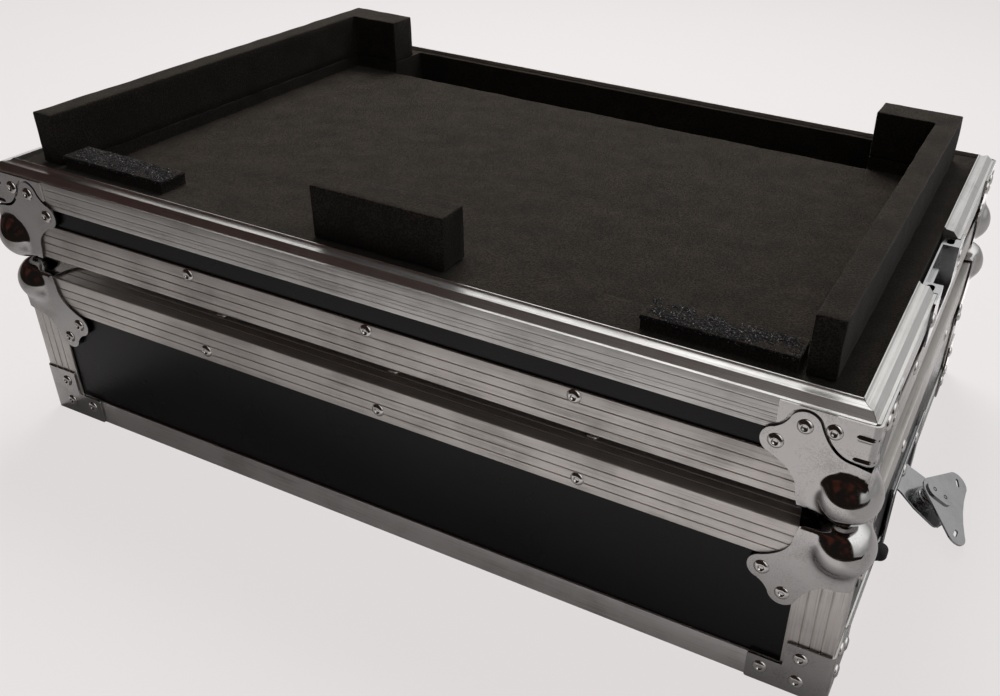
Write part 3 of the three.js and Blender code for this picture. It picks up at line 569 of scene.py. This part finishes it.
edge = wing_edge()
fold_steps, ball_patch, ball_pitch, wing_patch, wing_pitch = 34, 26.5 * mm, 1.1 * mm, 60 * mm, 5 * mm
fold = [Vector((-sheet_out, -sheet_out + (neck_reach + sheet_out) * (1 - i / fold_steps)))
        for i in range(1, fold_steps + 1)]
fold += [Vector((p.y, p.x)) for p in reversed(fold[:-1])]
fill = [p for p in grid_points(0, wing_patch, 0, wing_patch, wing_pitch) if max(p) > ball_patch]
fill += grid_points(-0.6 * mm, ball_patch, -0.6 * mm, ball_patch, ball_pitch)
flat_points, flat_faces = filled(edge + fold, fill, 0.5 * mm)
pressed = ("SOLIDIFY", {"thickness": sheet, "offset": -1, "use_even_offset": True, "material_offset_rim": 1})


def corner_shell(ball_out):
    """The pressed corner; its ball stands out from the case's sides by ball_out."""
    centre = Vector((ball_out - ball_radius, ball_out - ball_radius, ball_up - ball_radius))
    shell = bmesh.new()
    for turns in range(3):
        ring = []
        for p in flat_points:
            flat = Vector((-p.x, -p.y, sheet_out))
            for _ in range(turns):
                flat = Vector((flat.z, flat.x, flat.y))
            ring.append(shell.verts.new(shell_point(flat, centre)))
        for face in flat_faces:
            shell.faces.new([ring[i] for i in face])
    bmesh.ops.remove_doubles(shell, verts=shell.verts, dist=0.02 * mm)
    faced_out(shell, lambda f: (f.calc_center_median() - centre).dot(f.normal))
    mesh = finished(shell, "ball_corner_shell")
    for metal in (zinc, edge_shade_and_dark_rivets):
        mesh.materials.append(metal)
    return evaluated(mesh, [pressed, edge_round(0.35 * mm, 50)])


for body, ball_out, shift, sz, z in (("lid", lid_ball_out, 0, 1, lid_height),
                                     ("base", base_ball_out, base_shift, -1, base_bottom)):
    ball_corner = corner_shell(ball_out)
    for corner, (sx, sy) in corners.items():
        mesh = ball_corner.copy()
        mesh.transform(corner_basis(sx, sy, sz, z, shift))
        piece_of(mesh, f"{body}_pressed_corner_{corner}", body, zinc,
                 [f"{body}_ball_corner_{corner}"], None)

# The sheet braces hold the rims' mitres. Each is one zinc-plated strip bent round the corner and
# riveted. The base's has two short pressed ribs on each leg and is cut clear of the ball corner.
plate_gap = sheet_out - sheet
brace_clear, brace_reach = 1.9 * mm, 51.5 * mm
rib_half, rib_wide, rib_slope, rib_in, rib_lift = 3.4 * mm, 1.9 * mm, 1.3, 4.6 * mm, 0.7 * mm
bend_pitch, flat_pitch, flat_clear, edge_clear = 0.8 * mm, 5 * mm, 2 * mm, 0.45 * mm
rib_pitch, rib_patch_half, rib_patch_wide = 0.6 * mm, 6 * mm, 2.4 * mm


def split(points, longest):
    """A closed outline with its long edges divided."""
    done = []
    for a, b in zip(points, points[1:] + points[:1]):
        count = max(1, math.ceil((b - a).length / longest))
        done += [a + (b - a) * i / count for i in range(count)]
    return done


def mirrored(half):
    """Closes half of an outline, drawn from the top of its middle line to the bottom."""
    return half + [Vector((-p.x, p.y)) for p in reversed(half[1:-1])]


def bent_sheet(half, bend, ribs=()):
    """Bends a flat sheet, drawn as (distance from the corner, height), round the corner."""
    half_turn = math.pi / 4 * bend
    centre = sheet_out - bend
    outline = split(mirrored([Vector((p.x + half_turn + centre if p.x else 0, p.y)) for p in half]), 1 * mm)
    low, high = min(p.y for p in outline), max(p.y for p in outline)
    wide = max(p.x for p in outline)
    fill = grid_points(-half_turn, half_turn, low, high, bend_pitch)
    fill += [p for p in grid_points(-wide, wide, low, high, flat_pitch) if abs(p.x) > half_turn + flat_clear]
    places = [(side * (x + half_turn + centre), y, lift) for x, y, lift in ribs for side in (-1, 1)]
    for x, y, _ in places:
        fill += grid_points(x - rib_patch_half, x + rib_patch_half, y - rib_patch_wide, y + rib_patch_wide,
                            rib_pitch)
    points, faces = filled(outline, fill, edge_clear)
    made = bmesh.new()
    verts = []
    for p in points:
        angle = min(max(p.x / half_turn, -1), 1) * math.pi / 4 + math.pi / 4
        out = Vector((math.sin(angle), math.cos(angle)))
        lift = 0.0
        for x, y, height in places:
            away = math.hypot(max(abs(p.x - x) - rib_half, 0), p.y - y) / rib_wide
            lift = max(lift, height * max(0, 1 - away * away) ** rib_slope)
        place = Vector((centre, centre)) + out * (bend + lift)
        place += Vector((min(p.x + half_turn, 0), -max(p.x - half_turn, 0)))
        verts.append(made.verts.new((place.x, place.y, p.y)))
    for face in faces:
        made.faces.new([verts[i] for i in face])
    faced_out(made, lambda f: f.normal.x + f.normal.y)
    return evaluated(finished(made, "bent_sheet"), [pressed, edge_round(0.3 * mm, 50)])


lid_half = [Vector((x * mm, y * mm)) for x, y in
            ((0, 40), (28, 40), (28, 20.6), (50, 20.6), (50, 0.2), (0, 0.2))]
lid_brace = bent_sheet(rounded(lid_half, (0, 2 * mm, 0.8 * mm, 1.5 * mm, 1.5 * mm, 0)), 3.4 * mm)

brace_top = ledge - base_bottom - plate_gap
cleared = []
for a, b in zip(edge, edge[1:]):
    out = Vector((b.y - a.y, a.x - b.x)).normalized() * brace_clear
    cleared.append((a + b) / 2 + out)
cleared = [p for p in cleared if min((p - q).length for q in split(edge, 0.5 * mm)) > 0.9 * brace_clear]
cleared = [p for p in cleared if 0 < p.x < brace_reach and p.y > p.x - 8 * mm]
base_half = [Vector((0, brace_top)), Vector((brace_reach, brace_top)), Vector((brace_reach, cleared[0].y))]
base_half += cleared + [Vector((0, cleared[-1].y))]
base_half = [p for p, q in zip(base_half, base_half[1:]) if (p - q).length > 0.05 * mm] + base_half[-1:]
base_brace = bent_sheet(base_half, 4.2 * mm, [(rib_in, up * mm, rib_lift) for up in (52.6, 38.5)])
for corner, (sx, sy) in corners.items():
    for prefix, brace, low, shift in (("lid", lid_brace, 0, 0),
                                      ("base", base_brace, base_bottom, base_shift)):
        mesh = brace.copy()
        mesh.transform(corner_basis(sx, sy, 1, low, shift))
        piece_of(mesh, f"{prefix}_bent_brace_{corner}", prefix, zinc,
                 [f"{prefix}_brace_{corner}"], None)


# The latch and keeper hardware is pressed and folded from zinc-plated steel, with turned pins.
# Each piece keeps its worked-out solid, with every edge rolled over as a press leaves it.
def solid_of(node):
    """A node's solid as a closed mesh: its loose triangles merged and its flats made whole."""
    made = bmesh.new()
    made.from_mesh(nodes[node].data)
    bmesh.ops.remove_doubles(made, verts=made.verts, dist=0.002 * mm)
    bmesh.ops.dissolve_limit(made, angle_limit=math.radians(0.5), verts=made.verts, edges=made.edges)
    return finished(made, node + "_solid")


flats_kept = ("WEIGHTED_NORMAL", {"weight": 100, "keep_sharp": True})
latch_zinc = zinc_of("latch_zinc", (0.43, 0.43, 0.435, 1), (0.33, 0.33, 0.335, 1), 0.16)
for name, width in (("latch_dish", 0.35), ("keeper_dish", 0.35), ("latch_arm", 0.3), ("latch_hook", 0.3),
                    ("latch_wing", 0.35)):
    for side in ("right", "left"):
        mesh = evaluated(solid_of(f"{name}_{side}"), [edge_round(width * mm, 35), flats_kept])
        body = {"latch_dish": "lid", "keeper_dish": "base"}.get(name, f"{name}_{side}")
        piece_of(mesh, f"{name}_{side}_pressed", body, latch_zinc, [f"{name}_{side}"], None)

# The small rubber buffers beside the latches are moulded: a domed foot with a screw hole, on
# a thin seat. The rubber is matt and slightly dusty.
buffer_out, buffer_y, buffer_up = 320.2 * mm, -77 * mm, 13.5 * mm
rubber, tree, shader = finish_of("buffer_rubber", 0.0, 0.62, 0.3)
dust = noise_of(tree, place_of(tree), 240, 4.0, 0.6)
tint = ramp_of(tree, dust, 0.35, 0.7, (0.009, 0.009, 0.010, 1), (0.026, 0.025, 0.026, 1))
tree.links.new(tint, shader.inputs["Base Color"])
bump_of(tree, shader, dust, 0.00015, 0.6)


def lathe(profile, steps):
    """Turns a profile, in mm as (radius, height), round the Z axis; it starts and ends on it."""
    made = bmesh.new()
    rings = []
    for radius, height in ((r * mm, h * mm) for r, h in profile):
        if radius < 1e-9:
            rings.append([made.verts.new((0, 0, height))])
            continue
        rings.append([made.verts.new((radius * math.cos(math.tau * k / steps),
                                      radius * math.sin(math.tau * k / steps), height))
                      for k in range(steps)])
    for low, high in zip(rings, rings[1:]):
        for k in range(steps):
            a, b = k % len(low), (k + 1) % len(low)
            c, d = (k + 1) % len(high), k % len(high)
            made.faces.new([v for i, v in enumerate((low[a], low[b], high[c], high[d]))
                            if v not in (low[a], low[b], high[c], high[d])[:i]])
    bmesh.ops.recalc_face_normals(made, faces=made.faces)
    return finished(made, "turned")


for side, sign in (("right", 1), ("left", -1)):
    mesh = lathe([(0, 0), (7, 0), (7, 0.8), (6.9, 1.5), (6.6, 1.8), (6.5, 2.6), (6.2, 4), (5.5, 5.5),
                  (4.5, 6.5), (3.3, 7.2), (2.6, 7.4), (2.1, 7.3), (1.9, 7), (1.8, 5.4), (1.5, 5.1),
                  (0, 5.1)], 48)
    mesh.transform(Matrix.Translation((sign * buffer_out, buffer_y, buffer_up))
                   @ Matrix.Rotation(sign * math.pi / 2, 4, "Y"))
    piece_of(mesh, f"moulded_buffer_{side}", "lid", rubber, [f"latch_buffer_{side}"])

# Two small hollow rivets hold the oval cap on each latch's wing. They are dark turned rings, set
# along the cap, which is found in the wing as the flat face of its size with nothing over it.
cap_rivet_out, cap_least, cap_most, cap_level = 5.2 * mm, 230e-6, 400e-6, 0.02 * mm
cap_ring = lathe([(0, -0.2), (1.75, -0.2), (1.8, 0.1), (1.5, 0.32), (1.2, 0.32), (1.0, 0.1),
                  (0.95, -0.1), (0, -0.1)], 16)
for side in ("right", "left"):
    wing = solid_of(f"latch_wing_{side}")
    cap = next(f for f in wing.polygons if cap_least < f.area < cap_most
               and all((v.co - f.center).dot(f.normal) < cap_level for v in wing.vertices))
    along = max((wing.vertices[i].co - cap.center for i in cap.vertices), key=lambda v: v.length).normalized()
    rings = []
    for way in (-1, 1):
        place = Matrix.Translation(cap.center + along * way * cap_rivet_out)
        ring = cap_ring.copy()
        ring.transform(place @ cap.normal.to_track_quat("Z", "Y").to_matrix().to_4x4())
        rings.append(ring)
    piece_of(joined(rings), f"cap_rivets_{side}", f"latch_wing_{side}", edge_shade_and_dark_rivets, (), 50)

# Blind rivets of bright aluminium hold the angles, corners, braces and dishes. Each head is a low
# dome with a dimple where its pin broke off; Geometry Nodes sets one on every marked place.
# Places along a side and heights are in mm.
rivet_mesh = lathe([(0, -0.6), (4.6, -0.6), (4.7, 0.05), (4.45, 0.6), (3.9, 1.1), (3.2, 1.5), (2.5, 1.72),
                    (2.05, 1.66), (1.8, 1.4), (1.65, 0.5), (1.2, 0.3), (0, 0.3)], 20)
rivet_mesh.shade_smooth()
rivet = bpy.data.objects.new("rivet_head", rivet_mesh)
bpy.context.collection.objects.link(rivet)
rivet_metal = zinc_of("rivet_aluminium", (0.62, 0.605, 0.585, 1), (0.46, 0.445, 0.43, 1), 0.17)


def rivet_tree():
    """Sets a copy of a head on each point, turned to its face and a little round itself."""
    tree = bpy.data.node_groups.new("set_rivets", "GeometryNodeTree")
    for name, kind, way in (("Places", "NodeSocketGeometry", "INPUT"), ("Head", "NodeSocketObject", "INPUT"),
                            ("Finish", "NodeSocketMaterial", "INPUT"), ("Seed", "NodeSocketInt", "INPUT"),
                            ("Rivets", "NodeSocketGeometry", "OUTPUT")):
        tree.interface.new_socket(name, in_out=way, socket_type=kind)
    given = shader_node(tree, "NodeGroupInput").outputs
    head_info = shader_node(tree, "GeometryNodeObjectInfo", {"Object": given["Head"]})
    facing = shader_node(tree, "GeometryNodeInputNamedAttribute", {"Name": "facing"},
                         data_type="FLOAT_VECTOR")
    turn = shader_node(tree, "FunctionNodeAlignRotationToVector", {"Vector": facing.outputs["Attribute"]},
                       axis="Z")
    spin = shader_node(tree, "FunctionNodeRandomValue", {"Max": (0.0, 0.0, 6.2831), "Seed": given["Seed"]},
                       data_type="FLOAT_VECTOR")
    seat = shader_node(tree, "FunctionNodeRandomValue",
                       {"Min": (0.97, 0.97, 0.85), "Max": (1.03, 1.03, 1.0), "Seed": given["Seed"]},
                       data_type="FLOAT_VECTOR")
    copies = shader_node(tree, "GeometryNodeInstanceOnPoints", {
        "Points": given["Places"], "Instance": head_info.outputs["Geometry"],
        "Rotation": turn.outputs["Rotation"], "Scale": seat.outputs["Value"]})
    turned = shader_node(tree, "GeometryNodeRotateInstances", {
        "Instances": copies.outputs["Instances"], "Rotation": spin.outputs["Value"], "Local Space": True})
    real = shader_node(tree, "GeometryNodeRealizeInstances", {"Geometry": turned.outputs["Instances"]})
    done = shader_node(tree, "GeometryNodeSetMaterial", {"Geometry": real.outputs["Geometry"],
                                                          "Material": given["Finish"]})
    tree.links.new(done.outputs["Geometry"], shader_node(tree, "NodeGroupOutput").inputs["Rivets"])
    return tree


def rivets(name, body, places, tree, seed):
    """One mesh of rivets for a body, from (place, facing) pairs."""
    mesh = bpy.data.meshes.new(name)
    mesh.from_pydata([p for p, _ in places], [], [])
    facing = mesh.attributes.new("facing", "FLOAT_VECTOR", "POINT")
    facing.data.foreach_set("vector", [c for _, way in places for c in way])
    carrier = bpy.data.objects.new(name + "_places", mesh)
    bpy.context.collection.objects.link(carrier)
    modifier = carrier.modifiers.new("rivets", "NODES")
    modifier.node_group = tree
    ids = {item.name: item.identifier for item in tree.interface.items_tree if item.in_out == "INPUT"}
    for socket, value in (("Head", rivet), ("Finish", rivet_metal), ("Seed", seed)):
        modifier[ids[socket]] = value
    carrier.update_tag()
    made = bpy.data.meshes.new_from_object(carrier.evaluated_get(bpy.context.evaluated_depsgraph_get()))
    bpy.data.objects.remove(carrier)
    for spare in list(made.attributes):
        if spare.name == "facing":
            made.attributes.remove(spare)
    piece_of(made, name, body, rivet_metal, (), 60)


def on_face(side, along, height, shift, out):
    """A place on a side of the case, in mm, with the way that side faces."""
    sx, sy, _ = sides[side]
    way = Vector((sx, sy, 0))
    run = Vector((1, 0, 0)) if side in ("front", "back") else Vector((0, 1, 0))
    corner = Vector((sx * half_width + shift, sy * half_depth, height * mm))
    return corner + run * along * mm + way * out * mm, way


band_places = {"front": (-142, 4.5, 150.5), "back": (-142, 4.5, 150.5), "right": (-80, 80), "left": (-80, 80)}
lid_band, base_band, lid_face, base_face, face_in, seated = 107, 166, 127.05, 142.95, 20 * mm, 0.05
latch_row, latch_height, keeper_row, keeper_height, dish_out = (-30, 14), 52.4, (-60, 44), 190, 1.6
lid_brace_places, base_brace_places = ((18, 30.5), (18, 11.5), (41, 12.5)), ((21, 52),)
lid_places, base_places = [], []
for side, (sx, sy, _) in sides.items():
    inward = -Vector((sx, sy, 0)) * face_in
    for along in band_places[side]:
        lid_places.append(on_face(side, along, lid_band, 0, seated))
        base_places.append(on_face(side, along, base_band, base_shift, seated))
        for places, z, shift, way in ((lid_places, lid_face, 0, 1), (base_places, base_face, base_shift, -1)):
            place = on_face(side, along, z, shift, 0)[0]
            places.append((place + inward, Vector((0, 0, way))))
for sx, sy in corners.values():
    for sz, z, shift, places in ((1, lid_height, 0, lid_places), (-1, base_bottom, base_shift, base_places)):
        basis = corner_basis(sx, sy, sz, z, shift)
        for a, b in ((lobe_far, lobe_near), (lobe_near, lobe_far)):
            for spot, way in (((-a, -b, sheet_out), (0, 0, 1)), ((-a, sheet_out, -b), (0, 1, 0)),
                              ((sheet_out, -a, -b), (1, 0, 0))):
                places.append((basis @ Vector(spot), basis.to_3x3() @ Vector(way)))
    for places, low, shift, spots in ((lid_places, 0, 0, lid_brace_places),
                                      (base_places, base_bottom, base_shift, base_brace_places)):
        basis = corner_basis(sx, sy, 1, low, shift)
        for a, z in spots:
            for spot, way in (((-a * mm, sheet_out, z * mm), (0, 1, 0)),
                              ((sheet_out, -a * mm, z * mm), (1, 0, 0))):
                places.append((basis @ Vector(spot), basis.to_3x3() @ Vector(way)))
for side in ("right", "left"):
    for along in latch_row:
        lid_places.append(on_face(side, along, latch_height, 0, dish_out))
    for along in keeper_row:
        base_places.append(on_face(side, along, keeper_height, base_shift, dish_out))
set_rivets = rivet_tree()
rivets("lid_rivets", "lid", lid_places, set_rivets, 3)
rivets("base_rivets", "base", base_places, set_rivets, 5)
bpy.data.objects.remove(rivet)

# The foam insert is cut from charcoal polyethylene blocks: a bed with the deck's pocket and
# cable trench, walls, a front block and a pad in the lid. Its cut faces are open, pitted cells.
foam, tree, shader = finish_of("charcoal_foam", 0.0, 0.95, 0.2)
place = place_of(tree)
cells = shader_node(tree, "ShaderNodeTexVoronoi", {"Vector": place, "Scale": 900.0, "Randomness": 1.0})
fine = noise_of(tree, place, 1100, 2.0, 0.8)
broad = noise_of(tree, place, 40, 4.0, 0.6)
pits = range_of(tree, cells.outputs["Distance"], 0.0, 1.0, 0.1, 0.75)
# Painted shade: the colour is darker in the cells' pits, times a fine grain of random tone.
painted_pit_shade_and_grain = math_of(tree, "MULTIPLY", pits, fine)
tint = ramp_of(tree, painted_pit_shade_and_grain, 0.03, 0.5, (0.0014, 0.0011, 0.0009, 1), (0.019, 0.0152, 0.0118, 1))
wear = range_of(tree, broad, 0.75, 1.3, 0.3, 0.7)
worn = shader_node(tree, "ShaderNodeVectorMath", {0: tint, "Scale": wear}, operation="SCALE")
tree.links.new(worn.outputs["Vector"], shader.inputs["Base Color"])
shader.inputs["Sheen Weight"].default_value = 0.06
shader.inputs["Sheen Roughness"].default_value = 0.4
shader.inputs["Sheen Tint"].default_value = (0.8, 0.75, 0.72, 1)
pitted = bump_of(tree, shader, pits, 0.0003, 0.5)
bump_of(tree, shader, fine, 0.0002, 0.4, pitted)
cut_round, burnt_off = 1.1 * mm, 0.15 * mm
long_wave, short_wave = (16 * mm, 0.45 * mm), (7 * mm, 0.12 * mm)


def wavy(point, seed, size, height):
    return noise.noise(point / size + Vector((seed, seed * 1.7, seed * 2.3))) * height


def gridded(made, pitch):
    """Cuts every face of a block along planes a few millimetres apart, on all three axes."""
    for axis in range(3):
        values = [v.co[axis] for v in made.verts]
        low, high = min(values), max(values)
        way = Vector([1 if i == axis else 0 for i in range(3)])
        count = max(1, round((high - low) / pitch))
        for i in range(1, count):
            at = way * (low + (high - low) * i / count)
            bmesh.ops.bisect_plane(made, geom=made.verts[:] + made.edges[:] + made.faces[:],
                                   plane_co=at, plane_no=way, dist=0.00001)


def cut_foam(node, body, pitch, seed):
    """A foam block as a hot wire leaves it: rolled edges and faces that wander a little."""
    mesh = evaluated(solid_of(node), [edge_round(cut_round, 35, 3)])
    made = bmesh.new()
    made.from_mesh(mesh)
    gridded(made, pitch)
    bmesh.ops.triangulate(made, faces=made.faces)
    made.normal_update()
    moves = [(v, v.normal * (wavy(v.co, seed, *long_wave) + wavy(v.co, seed + 9, *short_wave) - burnt_off))
             for v in made.verts]
    for v, move in moves:
        v.co += move
    made.to_mesh(mesh)
    made.free()
    piece = piece_of(mesh, f"cut_{node}", body, foam, [node], 50)


for node, body, pitch, seed in (("foam_bed", "base", 5.5, 1), ("foam_wall_right", "base", 5.5, 4),
                                ("foam_wall_left", "base", 5.5, 7), ("foam_front_block", "base", 5.5, 11),
                                ("lid_foam_pad", "lid", 12, 15)):
    cut_foam(node, body, pitch * mm, seed)

# The two low front pads have torn tops, where a layer of foam was pulled away and left its
# cells open and ragged. Each is a thin slab of its own, laid on the bed's own pad.
torn, tree, shader = finish_of("torn_foam", 0.0, 0.9, 0.25)
place = place_of(tree)
ragged = noise_of(tree, place, 800, 3.0, 0.7)
# Painted glints: sparse bright specks in the colour stand for light caught by the torn cells.
painted_glints = noise_of(tree, place, 1500, 1.0, 0.5)
both = math_of(tree, "MULTIPLY", ragged, painted_glints)
tint = ramp_of(tree, both, 0.32, 0.44, (0.0010, 0.0008, 0.0008, 1), (0.24, 0.22, 0.215, 1))
tree.links.new(tint, shader.inputs["Base Color"])
shader.inputs["Sheen Weight"].default_value = 0.04
shader.inputs["Sheen Tint"].default_value = (0.8, 0.76, 0.78, 1)
bump_of(tree, shader, ragged, 0.0016, 1.0)
pad_far, pad_near, pad_front, pad_back, pad_top = (v * mm for v in (270.1, 177.9, -188.1, -165.9, 217))
tuft_pitch, rim_sink, slab_over, slab_under = 0.95 * mm, 1.0 * mm, 0.2 * mm, 2.6 * mm
hills, tufts, stray = (9 * mm, 0.9 * mm), (1.3 * mm, 1.1 * mm), (5 * mm, 0.5 * mm)


def torn_slab(low, high, top, deep, seed):
    """A ragged upper face over a plain hidden seat, drawn between two corners."""
    across, along = round((high.x - low.x) / tuft_pitch), round((high.y - low.y) / tuft_pitch)
    made = bmesh.new()
    rows = []
    for j in range(along + 1):
        row = []
        for i in range(across + 1):
            p = Vector((low.x + (high.x - low.x) * i / across, low.y + (high.y - low.y) * j / along, 0))
            rim = min(i, across - i, j, along - j)
            lift = wavy(p, seed, *hills) + wavy(p, seed + 3, *tufts)
            p.x += wavy(p, seed + 5, *stray)
            p.y += wavy(p, seed + 6, *stray)
            p.z = top + lift - rim_sink / (1 + rim)
            row.append(made.verts.new(p))
        rows.append(row)
    for j in range(along):
        for i in range(across):
            made.faces.new((rows[j][i], rows[j][i + 1], rows[j + 1][i + 1], rows[j + 1][i]))
    border = rows[0] + [row[-1] for row in rows[1:]] + rows[-1][-2::-1] + [row[0] for row in rows[-2:0:-1]]
    foot = [made.verts.new((v.co.x, v.co.y, deep)) for v in border]
    count = len(border)
    for i in range(count):
        made.faces.new((border[(i + 1) % count], border[i], foot[i], foot[(i + 1) % count]))
    bmesh.ops.triangulate(made, faces=[made.faces.new(foot)])
    bmesh.ops.recalc_face_normals(made, faces=made.faces)
    return finished(made, "torn_slab")


for side, sign, seed in (("right", 1, 21), ("left", -1, 24)):
    xs = sorted((sign * pad_far + base_shift, sign * pad_near + base_shift))
    slab = torn_slab(Vector((xs[0], pad_front)), Vector((xs[1], pad_back)), pad_top + slab_over,
                     pad_top - slab_under, seed)
    piece = piece_of(slab, f"torn_pad_top_{side}", "base", torn, (), 180)
